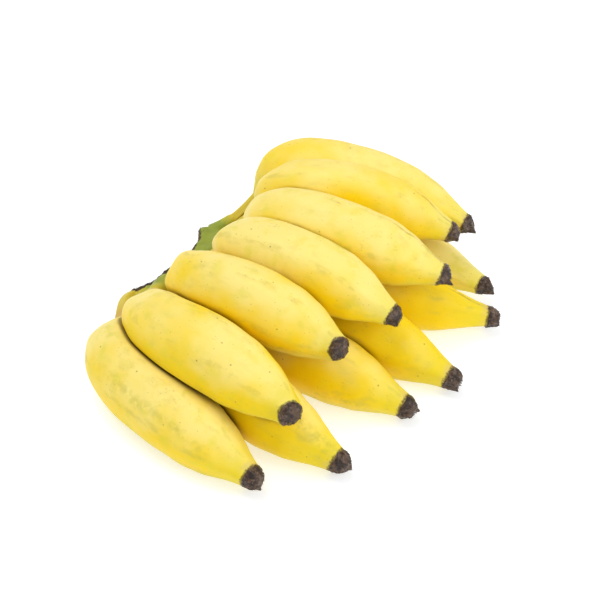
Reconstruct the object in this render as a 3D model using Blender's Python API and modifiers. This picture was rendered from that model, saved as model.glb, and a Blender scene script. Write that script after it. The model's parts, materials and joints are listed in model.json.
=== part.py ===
"""A hand of twelve small dessert bananas on one crown, lying down with the rounded backs up.

Units are metres, +Z is up and the table is at z = 0. The crown is at -X, the fingers reach
towards +X in a lower and an upper row of six, and finger 1 of each row is at -Y.
"""

import math
from dataclasses import dataclass

import bmesh
import bpy
import numpy as np
from mathutils import Vector

MM = 0.001

# The crown is a crescent, and its middle is the point that the fingers are measured from.
CROWN_MIDDLE = (-66.0 * MM, 8.4 * MM)
CROWN_ARC_RADIUS = 57.0 * MM
CROWN_HALF_ANGLE = 27.5
CROWN_HEIGHT = 15.0 * MM
CROWN_MIDDLE_Z = 14.0 * MM
CROWN_THICKNESS = 11.0 * MM
CROWN_ROUNDING = 2.5 * MM
CROWN_ARC_STEPS = 12

# Roots of the two rows on the crown: degrees along its arc and height over the table.
LOWER_ROOTS = (-26.5, 9.5, 10.5 * MM)
UPPER_ROOTS = (-21.0, 9.5, 17.0 * MM)

# A finger's radius along its length, as shares of its length from neck to tip and of its radius.
GIRTH_AT = (0.00, 0.04, 0.10, 0.18, 0.30, 0.50, 0.68, 0.80, 0.89, 0.95, 1.00)
GIRTH_SHARE = (0.28, 0.48, 0.73, 0.90, 0.98, 1.00, 0.96, 0.83, 0.62, 0.45, 0.345)
STALK_ROOT_SHARE = 0.24
STALK_SHARE = 0.21
RING_STEP = 6.5 * MM
BEVEL_RESOLUTION = 5

# Neighbours flatten where they press on each other, and the lower row where it lies.
GAP = 0.4 * MM
PRESS_BLEND = 3.0 * MM
FLOOR_BLEND = 0.5 * MM

# The dried flower at each fingertip: shares of the tip radius, and distance from the fruit.
BLOSSOM_PROFILE = (
    (0.95, 0.0),
    (1.00, 1.2 * MM),
    (0.88, 3.4 * MM),
    (0.64, 5.2 * MM),
    (0.36, 6.2 * MM),
    (0.22, 8.0 * MM),
)
BLOSSOM_GAP = 0.3 * MM
BLOSSOM_STEPS = 12

SKIN_YELLOW = (0.86, 0.67, 0.10)
CROWN_GREEN = (0.30, 0.36, 0.06)
BLOSSOM_BROWN = (0.05, 0.035, 0.028)


@dataclass(frozen=True)
class Finger:
    """One banana. A station is (heading in degrees, reach in mm, height in mm) from the crown.

    A hook is a last station past the tip, where the end turns up. The flower's length is a share
    of a whole one's.
    """

    row: str
    number: int
    girth: float
    neck: tuple
    shoulder: tuple
    back: tuple
    tip: tuple
    elbow: tuple | None = None
    hook: tuple | None = None
    flower: float = 1.0


FINGERS = (
    Finger("lower", 1, 35, (-95, 55, 17), (-84, 77, 16.5), (-64, 103, 16), (-47, 141, 9), (-111, 38, 15)),
    Finger("lower", 2, 35, (-77, 33, 14.5), (-55, 65, 15.5), (-39, 112, 15.5), (-31, 144, 8)),
    Finger("lower", 3, 34.5, (-58, 16, 14), (-32, 45, 15), (-18, 96, 15), (-12, 135, 8)),
    Finger("lower", 4, 35, (27, 9, 14), (3, 42, 15.5), (0, 98, 15.5), (0, 141, 8)),
    Finger("lower", 5, 31, (83, 22, 14), (38, 47, 14), (18, 103, 14), (19, 145, 9)),
    Finger("lower", 6, 30, (93, 36, 14), (66, 62, 13.5), (40, 105, 13.5), (28, 141, 10)),
    Finger("upper", 1, 35, (-87, 46, 25), (-71, 66, 33), (-51, 97, 42), (-39, 131, 36),
           hook=(-38.7, 136, 36.7), flower=0.42),
    Finger("upper", 2, 34, (-68, 25, 30), (-50, 46, 42), (-33, 77, 49), (-22.5, 110, 42),
           hook=(-22.3, 115, 43), flower=0.42),
    Finger("upper", 3, 34, (-6, 17, 32), (-9, 35, 44), (-8, 75, 50), (-5, 115, 42)),
    Finger("upper", 4, 34, (43, 26, 32), (28, 42, 46), (15, 81, 50), (14, 123, 40)),
    Finger("upper", 5, 32, (70, 41, 30), (55, 51, 46), (39, 84, 48), (32, 124, 36)),
    Finger("upper", 6, 32, (85, 52, 26), (79, 66, 37), (57, 92, 40), (39.6, 134.5, 27)),
)


def clear_scene():
    """Remove every object, so that the script also runs in a scene that isn't empty."""
    for obj in list(bpy.data.objects):
        bpy.data.objects.remove(obj, do_unlink=True)


def new_collection(name):
    """A collection of this name under the scene."""
    collection = bpy.data.collections.new(name)
    bpy.context.scene.collection.children.link(collection)
    return collection


def principled(name, colour, roughness):
    """A Principled material of one colour."""
    material = bpy.data.materials.new(name)
    material.use_nodes = True
    shader = material.node_tree.nodes["Principled BSDF"]
    shader.inputs["Base Color"].default_value = (*colour, 1.0)
    shader.inputs["Roughness"].default_value = roughness
    shader.inputs["Metallic"].default_value = 0.0
    material.diffuse_color = (*colour, 1.0)
    return material


def crown_point(angle, radius=CROWN_ARC_RADIUS, height=CROWN_MIDDLE_Z):
    """The point at this angle along the crescent. Angle 0 is its middle, which bulges to +X."""
    turn = math.radians(angle)
    x = CROWN_MIDDLE[0] + radius * math.cos(turn) - CROWN_ARC_RADIUS
    y = CROWN_MIDDLE[1] + radius * math.sin(turn)
    return np.array((x, y, height))


def station_point(station):
    """A finger's station as a point."""
    heading, reach, height = station
    turn = math.radians(heading)
    x = CROWN_MIDDLE[0] + reach * MM * math.cos(turn)
    y = CROWN_MIDDLE[1] + reach * MM * math.sin(turn)
    return np.array((x, y, height * MM))


def natural_spline(points, steps=400):
    """A smooth curve through the points (a natural cubic spline), as points close together."""
    points = np.array(points)
    count = len(points)
    gaps = np.linalg.norm(np.diff(points, axis=0), axis=1) ** 0.75
    knots = np.concatenate(([0.0], np.cumsum(gaps)))
    matrix = np.eye(count)
    right = np.zeros((count, 3))
    for i in range(1, count - 1):
        matrix[i, i - 1 : i + 2] = gaps[i - 1], 2 * (gaps[i - 1] + gaps[i]), gaps[i]
        after = (points[i + 1] - points[i]) / gaps[i]
        before = (points[i] - points[i - 1]) / gaps[i - 1]
        right[i] = 6 * (after - before)
    bend = np.linalg.solve(matrix, right)
    at = np.linspace(0.0, knots[-1], steps)
    span = np.clip(np.searchsorted(knots, at, side="right") - 1, 0, count - 2)
    width = gaps[span][:, None]
    a = (knots[span + 1] - at)[:, None] / width
    b = 1.0 - a
    curve = a * points[span] + b * points[span + 1]
    curve += ((a**3 - a) * bend[span] + (b**3 - b) * bend[span + 1]) * width**2 / 6
    return curve


def lengths_along(curve):
    """The distance along the curve of each of its points."""
    return np.concatenate(([0.0], np.cumsum(np.linalg.norm(np.diff(curve, axis=0), axis=1))))


def finger_root(finger):
    """Where the finger's stalk starts, inside the crown."""
    first, step, height = LOWER_ROOTS if finger.row == "lower" else UPPER_ROOTS
    return crown_point(first + step * (finger.number - 1), height=height)


def smooth_table(at, values, wanted):
    """A smooth reading of a table: each stretch eases, with slopes kept from overshooting."""
    at = np.array(at)
    values = np.array(values)
    slope = np.diff(values) / np.diff(at)
    inner = np.where(slope[:-1] * slope[1:] > 0, 2 * slope[:-1] * slope[1:], 0.0)
    inner = inner / np.where(inner != 0.0, slope[:-1] + slope[1:], 1.0)
    tangent = np.concatenate((slope[:1], inner, slope[-1:]))
    span = np.clip(np.searchsorted(at, wanted, side="right") - 1, 0, len(at) - 2)
    width = at[span + 1] - at[span]
    t = (wanted - at[span]) / width
    start = values[span] + t * width * tangent[span]
    end = values[span + 1] - (1 - t) * width * tangent[span + 1]
    ease = t * t * (3 - 2 * t)
    return start * (1 - ease) + end * ease


def finger_spine(finger):
    """The finger's middle line as rings: points about RING_STEP apart, and their radii."""
    stations = (finger.elbow, finger.neck, finger.shoulder, finger.back, finger.tip, finger.hook)
    stations = [station_point(station) for station in stations if station]
    curve = natural_spline([finger_root(finger)] + stations)
    along = lengths_along(curve)
    nearest = np.linalg.norm(curve - station_point(finger.neck), axis=1).argmin()
    neck = along[nearest]
    body = along[-1] - neck
    rings = max(3, round(neck / RING_STEP))
    stalk_at = np.linspace(0.0, neck, rings, endpoint=False)
    body_at = neck + body * np.linspace(0.0, 1.0, round(body / RING_STEP) + 1)
    at = np.concatenate((stalk_at, body_at))
    points = np.stack([np.interp(at, along, curve[:, k]) for k in range(3)], axis=1)
    stalk = np.interp(
        stalk_at, (0.0, neck / 2, neck), (STALK_ROOT_SHARE, STALK_SHARE, GIRTH_SHARE[0])
    )
    share = smooth_table(GIRTH_AT, GIRTH_SHARE, (body_at - neck) / body)
    radii = np.concatenate((stalk, share)) * finger.girth / 2 * MM
    return points, radii


def mesh_from_curve(curve_object):
    """The curve's tube as a mesh object of the same name, with its end caps welded on."""
    graph = bpy.context.evaluated_depsgraph_get()
    mesh = bpy.data.meshes.new_from_object(curve_object.evaluated_get(graph))
    work = bmesh.new()
    work.from_mesh(mesh)
    bmesh.ops.remove_doubles(work, verts=work.verts, dist=0.01 * MM)
    work.to_mesh(mesh)
    work.free()
    name = curve_object.name
    place = curve_object.matrix_world.copy()
    collection = curve_object.users_collection[0]
    bpy.data.objects.remove(curve_object, do_unlink=True)
    mesh.name = name
    obj = bpy.data.objects.new(name, mesh)
    obj.matrix_world = place
    collection.objects.link(obj)
    return obj


def tube(name, points, radii, collection):
    """A tube along the points, whose radius changes from point to point."""
    curve = bpy.data.curves.new(name, "CURVE")
    curve.dimensions = "3D"
    curve.use_fill_caps = True
    curve.bevel_depth = 1.0
    curve.bevel_resolution = BEVEL_RESOLUTION
    spline = curve.splines.new("POLY")
    spline.points.add(len(points) - 1)
    for target, point, radius in zip(spline.points, points, radii):
        target.co = (*point, 1.0)
        target.radius = radius
    obj = bpy.data.objects.new(name, curve)
    collection.objects.link(obj)
    bpy.context.view_layer.update()
    return mesh_from_curve(obj)


def smooth_min(a, b, blend):
    """The lesser of a and b, rounded off where they are within blend of each other."""
    near = np.clip(blend - np.abs(a - b), 0.0, None)
    return np.minimum(a, b) - near**2 / (4 * blend)


def press_reach(centre, outward, radius, other):
    """How far each ray from the centre line goes before it is nearer to the other finger.

    At the distance d along a ray, the own surface is d - radius away and the other one is as
    far as its nearest sphere. The two are equal, less the gap, where d solves a linear equation.
    """
    spine, radii = other
    away = centre[:, None, :] - spine[None, :, :]
    k = radii[None, :] - radius[:, None] + GAP
    closing = k - (away * outward[:, None, :]).sum(axis=2)
    reach = ((away**2).sum(axis=2) - k**2) / (2 * np.where(closing > 0, closing, 1.0))
    return np.where(closing > 0, reach, np.inf).min(axis=1)


def press(obj, spine, others):
    """Flatten the finger where it meets the other fingers and the table."""
    count = len(obj.data.vertices)
    points = np.empty(count * 3)
    obj.data.vertices.foreach_get("co", points)
    points = points.reshape(-1, 3)
    step = np.diff(spine, axis=0)
    share = ((points[:, None, :] - spine[None, :-1, :]) * step[None]).sum(axis=2)
    share = np.clip(share / (step**2).sum(axis=1)[None], 0.0, 1.0)
    feet = spine[None, :-1, :] + share[:, :, None] * step[None]
    nearest = np.linalg.norm(points[:, None, :] - feet, axis=2).argmin(axis=1)
    centre = feet[np.arange(count), nearest]
    outward = points - centre
    reach = np.linalg.norm(outward, axis=1)
    outward = outward / np.maximum(reach, 0.01 * MM)[:, None]
    pressed = reach.copy()
    for other in others:
        limit = np.minimum(press_reach(centre, outward, reach, other), 2 * reach)
        pressed = smooth_min(pressed, limit, PRESS_BLEND)
    down = np.maximum(-outward[:, 2], 1e-6)
    floor = centre[:, 2] / down
    pressed = np.where(floor < 2 * reach, smooth_min(pressed, floor, FLOOR_BLEND), pressed)
    points = centre + outward * pressed[:, None]
    points[:, 2] = np.maximum(points[:, 2], 0.0)
    obj.data.vertices.foreach_set("co", points.ravel())
    obj.data.update()


def dense(spine, radii, step=1.5 * MM):
    """The same line with points close enough together to measure distances from."""
    along = lengths_along(spine)
    at = np.linspace(0.0, along[-1], math.ceil(along[-1] / step))
    points = np.stack([np.interp(at, along, spine[:, k]) for k in range(3)], axis=1)
    return points, np.interp(at, along, radii)


def crown_bar(name, collection, grow=0.0):
    """The crescent slab that all the stalks grow from. grow makes it larger all round."""
    rounding = CROWN_ROUNDING + grow
    half = CROWN_THICKNESS / 2 - CROWN_ROUNDING
    angles = np.linspace(-CROWN_HALF_ANGLE, CROWN_HALF_ANGLE, CROWN_ARC_STEPS + 1)
    outer = [crown_point(angle, CROWN_ARC_RADIUS + half) for angle in angles]
    inner = [crown_point(angle, CROWN_ARC_RADIUS - half) for angle in reversed(angles)]
    curve = bpy.data.curves.new(name, "CURVE")
    curve.dimensions = "2D"
    curve.fill_mode = "BOTH"
    curve.extrude = CROWN_HEIGHT / 2 - CROWN_ROUNDING
    curve.bevel_depth = rounding
    curve.bevel_resolution = 2
    spline = curve.splines.new("POLY")
    spline.points.add(len(outer + inner) - 1)
    for target, point in zip(spline.points, outer + inner):
        target.co = (point[0], point[1], 0.0, 1.0)
    spline.use_cyclic_u = True
    obj = bpy.data.objects.new(name, curve)
    obj.location.z = CROWN_MIDDLE_Z
    collection.objects.link(obj)
    bpy.context.view_layer.update()
    return mesh_from_curve(obj)


def cut(obj, cutter):
    """Take the cutter's shape out of the object."""
    modifier = obj.modifiers.new("clearance", "BOOLEAN")
    modifier.operation = "DIFFERENCE"
    modifier.object = cutter
    modifier.solver = "EXACT"


def blossom_end(name, tip, direction, radius, share, collection):
    """The dried remains of the flower: a turned stub that narrows to the old style."""
    mesh = bpy.data.meshes.new(name)
    work = bmesh.new()
    profile = [(width * radius, z * share) for width, z in reversed(BLOSSOM_PROFILE)]
    outline = [(0.0, profile[0][1])] + profile + [(0.0, profile[-1][1])]
    verts = [work.verts.new((x, 0.0, z)) for x, z in outline]
    for a, b in zip(verts, verts[1:]):
        work.edges.new((a, b))
    work.to_mesh(mesh)
    work.free()
    obj = bpy.data.objects.new(name, mesh)
    collection.objects.link(obj)
    turned = obj.modifiers.new("turned", "SCREW")
    turned.steps = BLOSSOM_STEPS
    turned.render_steps = BLOSSOM_STEPS
    turned.use_merge_vertices = True
    turned.merge_threshold = 0.00001
    obj.location = tip + direction * BLOSSOM_GAP
    obj.rotation_mode = "QUATERNION"
    obj.rotation_quaternion = Vector(direction).to_track_quat("Z", "Y")
    return obj


def dress(obj, material):
    """Give the object its material, and smooth shading with sharp edges kept."""
    obj.data.materials.clear()
    obj.data.materials.append(material)
    obj.data.shade_smooth()
    obj.data.set_sharp_from_angle(angle=math.radians(50))


def main():
    """Build the crown, the twelve fingers and their dried blossom ends."""
    clear_scene()
    hand = new_collection("banana_hand")
    cutters = new_collection("cutters")
    skin = principled("banana_skin", SKIN_YELLOW, 0.45)
    green = principled("crown_green", CROWN_GREEN, 0.55)
    brown = principled("blossom_brown", BLOSSOM_BROWN, 0.85)

    crown = crown_bar("crown", hand)
    dress(crown, green)
    clearance = crown_bar("crown_clearance", cutters, grow=GAP)
    clearance.hide_render = True
    clearance.display_type = "WIRE"

    spines = [finger_spine(finger) for finger in FINGERS]
    lines = [dense(*spine) for spine in spines]
    for i, (finger, (points, radii)) in enumerate(zip(FINGERS, spines)):
        name = f"{finger.row}_finger_{finger.number}"
        obj = tube(name, points, radii, hand)
        press(obj, points, lines[:i] + lines[i + 1 :])
        cut(obj, clearance)
        dress(obj, skin)
        direction = points[-1] - points[-2]
        direction = direction / np.linalg.norm(direction)
        blossom = f"{finger.row}_blossom_{finger.number}"
        end = blossom_end(blossom, points[-1], direction, radii[-1], finger.flower, hand)
        dress(end, brown)


main()
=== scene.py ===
"""The looks of a hand of twelve small dessert bananas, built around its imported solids.

Units are metres, +Z is up and the table is at z = 0. The crown is at -X, the fingers reach
towards +X in a lower and an upper row of six, and finger 1 of each row is at -Y.
"""

import json
import logging
import math
from dataclasses import dataclass
from enum import Enum
from typing import Any

import bmesh
import bpy
import numpy as np
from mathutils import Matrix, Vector, noise

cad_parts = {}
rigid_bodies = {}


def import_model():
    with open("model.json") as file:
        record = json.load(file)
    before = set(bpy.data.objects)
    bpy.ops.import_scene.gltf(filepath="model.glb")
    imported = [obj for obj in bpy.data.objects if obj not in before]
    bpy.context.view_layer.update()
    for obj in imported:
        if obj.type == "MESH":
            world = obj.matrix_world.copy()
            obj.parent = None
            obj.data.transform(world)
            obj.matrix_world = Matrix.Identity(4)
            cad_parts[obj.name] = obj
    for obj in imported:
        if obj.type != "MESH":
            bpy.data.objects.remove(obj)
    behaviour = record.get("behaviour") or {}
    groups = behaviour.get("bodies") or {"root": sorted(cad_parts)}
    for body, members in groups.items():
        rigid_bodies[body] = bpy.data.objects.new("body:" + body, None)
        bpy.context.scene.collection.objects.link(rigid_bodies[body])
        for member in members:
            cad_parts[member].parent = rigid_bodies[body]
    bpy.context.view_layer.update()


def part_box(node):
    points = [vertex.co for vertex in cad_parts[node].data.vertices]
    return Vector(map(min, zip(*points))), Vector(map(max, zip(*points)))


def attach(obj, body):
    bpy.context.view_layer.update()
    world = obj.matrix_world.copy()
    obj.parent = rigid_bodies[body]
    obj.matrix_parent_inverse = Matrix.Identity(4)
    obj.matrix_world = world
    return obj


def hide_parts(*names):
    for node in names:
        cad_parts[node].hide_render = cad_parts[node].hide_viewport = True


MM = 0.001
BODY = "root"

# How the distance between two points of a middle line sets the curve's pace there.
KNOT_POWER = 0.75
# How far a seed moves the noise of rough(), for each step of the seed.
SEED_STEP = (7.3, 3.1, 1.7)

log = logging.getLogger("banana_hand")

Socket = bpy.types.NodeSocket
Colour = tuple[float, float, float, float]
Station = tuple[float, float, float]


class Row(Enum):
    """The two rows of fingers on the crown."""

    LOWER = "lower"
    UPPER = "upper"


class Slot(Enum):
    """The record's material slots."""

    PEEL = "banana_skin"
    CROWN = "crown_green"
    BLOSSOM = "blossom_brown"


# ---------------------------------------------------------------------------- small tools


def srgb(red: int, green: int, blue: int) -> Colour:
    """A colour that is given as a screen shows it, made linear.

    Args:
        red: Red, 0 to 255.
        green: Green, 0 to 255.
        blue: Blue, 0 to 255.

    Returns:
        The linear colour with an alpha of 1.
    """
    linear = []
    for value in (red, green, blue):
        share = value / 255
        linear.append(share / 12.92 if share <= 0.04045 else ((share + 0.055) / 1.055) ** 2.4)
    return (*linear, 1.0)


def natural_spline(points: list[np.ndarray], steps: int = 1200) -> np.ndarray:
    """A natural cubic spline through the points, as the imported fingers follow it.

    Args:
        points: The points that the curve passes through.
        steps: How many points the curve is given as.

    Returns:
        The curve's points, one in each row.
    """
    through = np.array(points)
    count = len(through)
    gaps = np.linalg.norm(np.diff(through, axis=0), axis=1) ** KNOT_POWER
    knots = np.concatenate(([0.0], np.cumsum(gaps)))
    matrix = np.eye(count)
    right = np.zeros((count, 3))
    for i in range(1, count - 1):
        matrix[i, i - 1 : i + 2] = gaps[i - 1], 2 * (gaps[i - 1] + gaps[i]), gaps[i]
        after = (through[i + 1] - through[i]) / gaps[i]
        before = (through[i] - through[i - 1]) / gaps[i - 1]
        right[i] = 6 * (after - before)
    bend = np.linalg.solve(matrix, right)
    at = np.linspace(0.0, knots[-1], steps)
    span = np.clip(np.searchsorted(knots, at, side="right") - 1, 0, count - 2)
    width = gaps[span][:, None]
    a = (knots[span + 1] - at)[:, None] / width
    b = 1.0 - a
    curve = a * through[span] + b * through[span + 1]
    curve += ((a**3 - a) * bend[span] + (b**3 - b) * bend[span + 1]) * width**2 / 6
    return curve


def lengths_along(curve: np.ndarray) -> np.ndarray:
    """The distance along the curve of each of its points."""
    return np.concatenate(([0.0], np.cumsum(np.linalg.norm(np.diff(curve, axis=0), axis=1))))


def points_at(curve: np.ndarray, at: np.ndarray) -> np.ndarray:
    """The curve's points at these distances along it."""
    along = lengths_along(curve)
    return np.stack([np.interp(at, along, curve[:, k]) for k in range(3)], axis=1)


def directions(curve: np.ndarray) -> np.ndarray:
    """The unit direction of the curve at each of its points."""
    slope = np.gradient(curve, axis=0)
    return slope / np.linalg.norm(slope, axis=1)[:, None]


def smooth_table(table: tuple[tuple[float, float], ...], wanted: np.ndarray) -> np.ndarray:
    """A smooth reading of a table: each stretch eases, with slopes kept from overshooting.

    Args:
        table: Pairs of a place and the value there.
        wanted: The places to read.

    Returns:
        The value at each place.
    """
    at, values = np.array(table).T
    slope = np.diff(values) / np.diff(at)
    inner = np.where(slope[:-1] * slope[1:] > 0, 2 * slope[:-1] * slope[1:], 0.0)
    inner = inner / np.where(inner != 0.0, slope[:-1] + slope[1:], 1.0)
    tangent = np.concatenate((slope[:1], inner, slope[-1:]))
    span = np.clip(np.searchsorted(at, wanted, side="right") - 1, 0, len(at) - 2)
    width = at[span + 1] - at[span]
    t = (wanted - at[span]) / width
    start = values[span] + t * width * tangent[span]
    end = values[span + 1] - (1 - t) * width * tangent[span + 1]
    ease = t * t * (3 - 2 * t)
    return start * (1 - ease) + end * ease


def smooth_min(a: np.ndarray, b: np.ndarray, blend: float) -> np.ndarray:
    """The lesser of a and b, rounded off where they are within blend of each other."""
    near = np.clip(blend - np.abs(a - b), 0.0, None)
    return np.minimum(a, b) - near**2 / (4 * blend)


def smoothstep(value: np.ndarray, low: float, high: float) -> np.ndarray:
    """0 below low, 1 above high, and an easy rise between them. Low may be the larger."""
    t = np.clip((value - low) / (high - low), 0.0, 1.0)
    return t * t * (3 - 2 * t)


# ---------------------------------------------------------------------------- meshes


def read_points(mesh: bpy.types.Mesh) -> np.ndarray:
    """The mesh's vertices, one in each row."""
    values = np.empty(len(mesh.vertices) * 3)
    mesh.vertices.foreach_get("co", values)
    return values.reshape(-1, 3)


def write_points(mesh: bpy.types.Mesh, points: np.ndarray) -> None:
    """Move the mesh's vertices to these points."""
    mesh.vertices.foreach_set("co", points.ravel())
    mesh.update()


def read_attribute(mesh: bpy.types.Mesh, name: str) -> np.ndarray:
    """A point attribute's values: one number a vertex, or three for a vector."""
    attribute = mesh.attributes[name]
    vector = attribute.data_type == "FLOAT_VECTOR"
    values = np.empty(len(attribute.data) * (3 if vector else 1))
    attribute.data.foreach_get("vector" if vector else "value", values)
    return values.reshape(-1, 3) if vector else values


def store_attribute(mesh: bpy.types.Mesh, name: str, values: np.ndarray) -> None:
    """Keep one number or one vector for each vertex under this name."""
    vector = values.ndim == 2
    kind = "FLOAT_VECTOR" if vector else "FLOAT"
    attribute = mesh.attributes.get(name) or mesh.attributes.new(name, kind, "POINT")
    attribute.data.foreach_set("vector" if vector else "value", values.ravel())


def new_object(name: str, mesh: bpy.types.Mesh) -> bpy.types.Object:
    """An object of this mesh at the origin, in the scene."""
    obj = bpy.data.objects.new(name, mesh)
    bpy.context.scene.collection.objects.link(obj)
    return obj


def bake(obj: bpy.types.Object) -> bpy.types.Object:
    """Apply the object's modifiers: it gets the mesh that they make, and none is left on it."""
    bpy.context.view_layer.update()
    graph = bpy.context.evaluated_depsgraph_get()
    made = bpy.data.meshes.new_from_object(
        obj.evaluated_get(graph), preserve_all_data_layers=True, depsgraph=graph
    )
    name = obj.name
    before = obj.data
    obj.modifiers.clear()
    obj.data = made
    bpy.data.meshes.remove(before)
    made.name = name
    return obj


def line_mesh(name: str, points: np.ndarray, attributes: dict[str, np.ndarray]) -> bpy.types.Mesh:
    """A mesh of edges along the points, with an attribute for each name.

    Args:
        name: The mesh's name.
        points: The line's points in order.
        attributes: The values of each attribute, one for each point.

    Returns:
        The mesh.
    """
    mesh = bpy.data.meshes.new(name)
    edges = [(i, i + 1) for i in range(len(points) - 1)]
    mesh.from_pydata(points.tolist(), edges, [])
    for key, values in attributes.items():
        store_attribute(mesh, key, values)
    return mesh


def add_rings(work: bmesh.types.BMesh, rings: np.ndarray) -> None:
    """Add a closed skin over rings of points, in the order that turns its faces outwards.

    Args:
        work: The mesh to add to.
        rings: The points, by ring and by place on the ring.
    """
    count = rings.shape[1]
    verts = [[work.verts.new(point) for point in ring] for ring in rings]
    for a, b in zip(verts, verts[1:]):
        for i in range(count):
            j = (i + 1) % count
            work.faces.new((a[i], a[j], b[j], b[i]))
    work.faces.new(list(reversed(verts[0])))
    work.faces.new(verts[-1])


def rough(points: np.ndarray, size: float, seed: float) -> np.ndarray:
    """Smooth noise at each point, about -1 to 1, with bumps of this size."""
    shift = Vector([seed * step for step in SEED_STEP])
    return np.array([noise.noise(Vector(p) / size + shift) for p in points.tolist()])


# ---------------------------------------------------------------------------- node trees


class Wiring:
    """Adds nodes to a tree and joins them, and lays them out in columns."""

    COLUMN = 190
    PER_COLUMN = 4
    LINE = 300

    def __init__(self, tree: bpy.types.NodeTree) -> None:
        """Start on an empty tree."""
        self.tree = tree
        self.tree.nodes.clear()

    def node(self, kind: str, inputs: dict | None = None, **settings: Any) -> bpy.types.Node:
        """Add a node.

        Args:
            kind: The node's type.
            inputs: Values or sockets for its inputs, by name or number.
            settings: The node's own settings.

        Returns:
            The node.
        """
        place = len(self.tree.nodes)
        made = self.tree.nodes.new(kind)
        made.location = (
            self.COLUMN * (place // self.PER_COLUMN),
            -self.LINE * (place % self.PER_COLUMN),
        )
        for key, value in settings.items():
            setattr(made, key, value)
        for key, value in (inputs or {}).items():
            if isinstance(value, Socket):
                self.tree.links.new(value, made.inputs[key])
            else:
                made.inputs[key].default_value = value
        return made

    def math(self, operation: str, a: Any, b: Any = 0.0) -> Socket:
        """The result of a Math node on one or two numbers."""
        return self.node("ShaderNodeMath", {0: a, 1: b}, operation=operation).outputs[0]

    def times(self, a: Any, b: Any) -> Socket:
        """The product of two numbers."""
        return self.math("MULTIPLY", a, b)

    def swing(self, noise: Socket, height: float = 1.0) -> Socket:
        """Noise from 0 to 1 as a swing of this height, which goes as far below 0 as above."""
        return self.times(self.math("SUBTRACT", noise, 0.5), height)

    def vector_math(self, operation: str, a: Any, b: Any = (0.0, 0.0, 0.0)) -> Socket:
        """The vector that a Vector Math node makes of one or two vectors."""
        made = self.node("ShaderNodeVectorMath", {0: a, 1: b}, operation=operation)
        return made.outputs["Vector"]

    def scaled(self, vector: Socket, scale: Any) -> Socket:
        """The vector times a number."""
        made = self.node(
            "ShaderNodeVectorMath", {0: vector, "Scale": scale}, operation="SCALE"
        )
        return made.outputs["Vector"]

    def rise(self, value: Socket, low: float, high: float, top: float = 1.0) -> Socket:
        """0 below low and top above high, with an easy rise. Low may be the larger."""
        turned = low > high
        inputs = {
            "Value": value,
            "From Min": min(low, high),
            "From Max": max(low, high),
            "To Min": top if turned else 0.0,
            "To Max": 0.0 if turned else top,
        }
        made = self.node("ShaderNodeMapRange", inputs, interpolation_type="SMOOTHSTEP")
        return made.outputs["Result"]

    def noise(self, vector: Socket, size: float, detail: float = 2.0, **more: Any) -> Socket:
        """Noise from 0 to 1 with spots of about this size in metres.

        Args:
            vector: Where it is read.
            size: The size of its spots.
            detail: How many finer layers it has.
            more: Other inputs of the Noise node, by name.

        Returns:
            The noise.
        """
        inputs = {"Vector": vector, "Scale": 1 / size, "Detail": detail, **more}
        return self.node("ShaderNodeTexNoise", inputs).outputs[0]


class SurfaceWiring(Wiring):
    """The wiring of a material around one Principled shader."""

    def __init__(self, name: str) -> None:
        """Make the material, its shader and its output."""
        self.material = bpy.data.materials.new(name)
        self.material.use_nodes = True
        super().__init__(self.material.node_tree)
        self.shader = self.node("ShaderNodeBsdfPrincipled")
        self.node("ShaderNodeOutputMaterial", {"Surface": self.shader.outputs[0]})

    def attribute(self, name: str, output: str = "Fac") -> Socket:
        """A mesh attribute's value."""
        return self.node("ShaderNodeAttribute", attribute_name=name).outputs[output]

    def mix(self, share: Any, a: Any, b: Any) -> Socket:
        """Colour a, with this share of colour b over it."""
        made = self.node("ShaderNodeMix", data_type="RGBA")
        for key, value in ((0, share), (6, a), (7, b)):
            if isinstance(value, Socket):
                self.tree.links.new(value, made.inputs[key])
            else:
                made.inputs[key].default_value = value
        return made.outputs[2]

    def cells(self, vector: Socket, size: float) -> tuple[Socket, Socket]:
        """Scattered points: the distance to the nearest, and a number that belongs to it."""
        inputs = {"Vector": vector, "Scale": 1 / size, "Randomness": 1.0}
        made = self.node("ShaderNodeTexVoronoi", inputs)
        pick = self.node("ShaderNodeSeparateColor", {0: made.outputs["Color"]})
        return made.outputs["Distance"], pick.outputs[0]

    def bump(self, height: Socket, strength: float, distance: float, under: Any = None) -> Socket:
        """A normal that shows this height, over another bump if there is one."""
        inputs = {"Height": height, "Strength": strength, "Distance": distance}
        if under is not None:
            inputs["Normal"] = under
        return self.node("ShaderNodeBump", inputs).outputs[0]

    def finish(self, **inputs: Any) -> bpy.types.Material:
        """Set the shader's inputs, whose names are given with _ for a space.

        Args:
            inputs: Values or sockets for the shader.

        Returns:
            The material.
        """
        for key, value in inputs.items():
            socket = self.shader.inputs[key.replace("_", " ")]
            if isinstance(value, Socket):
                self.tree.links.new(value, socket)
            else:
                socket.default_value = value
        return self.material


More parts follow.
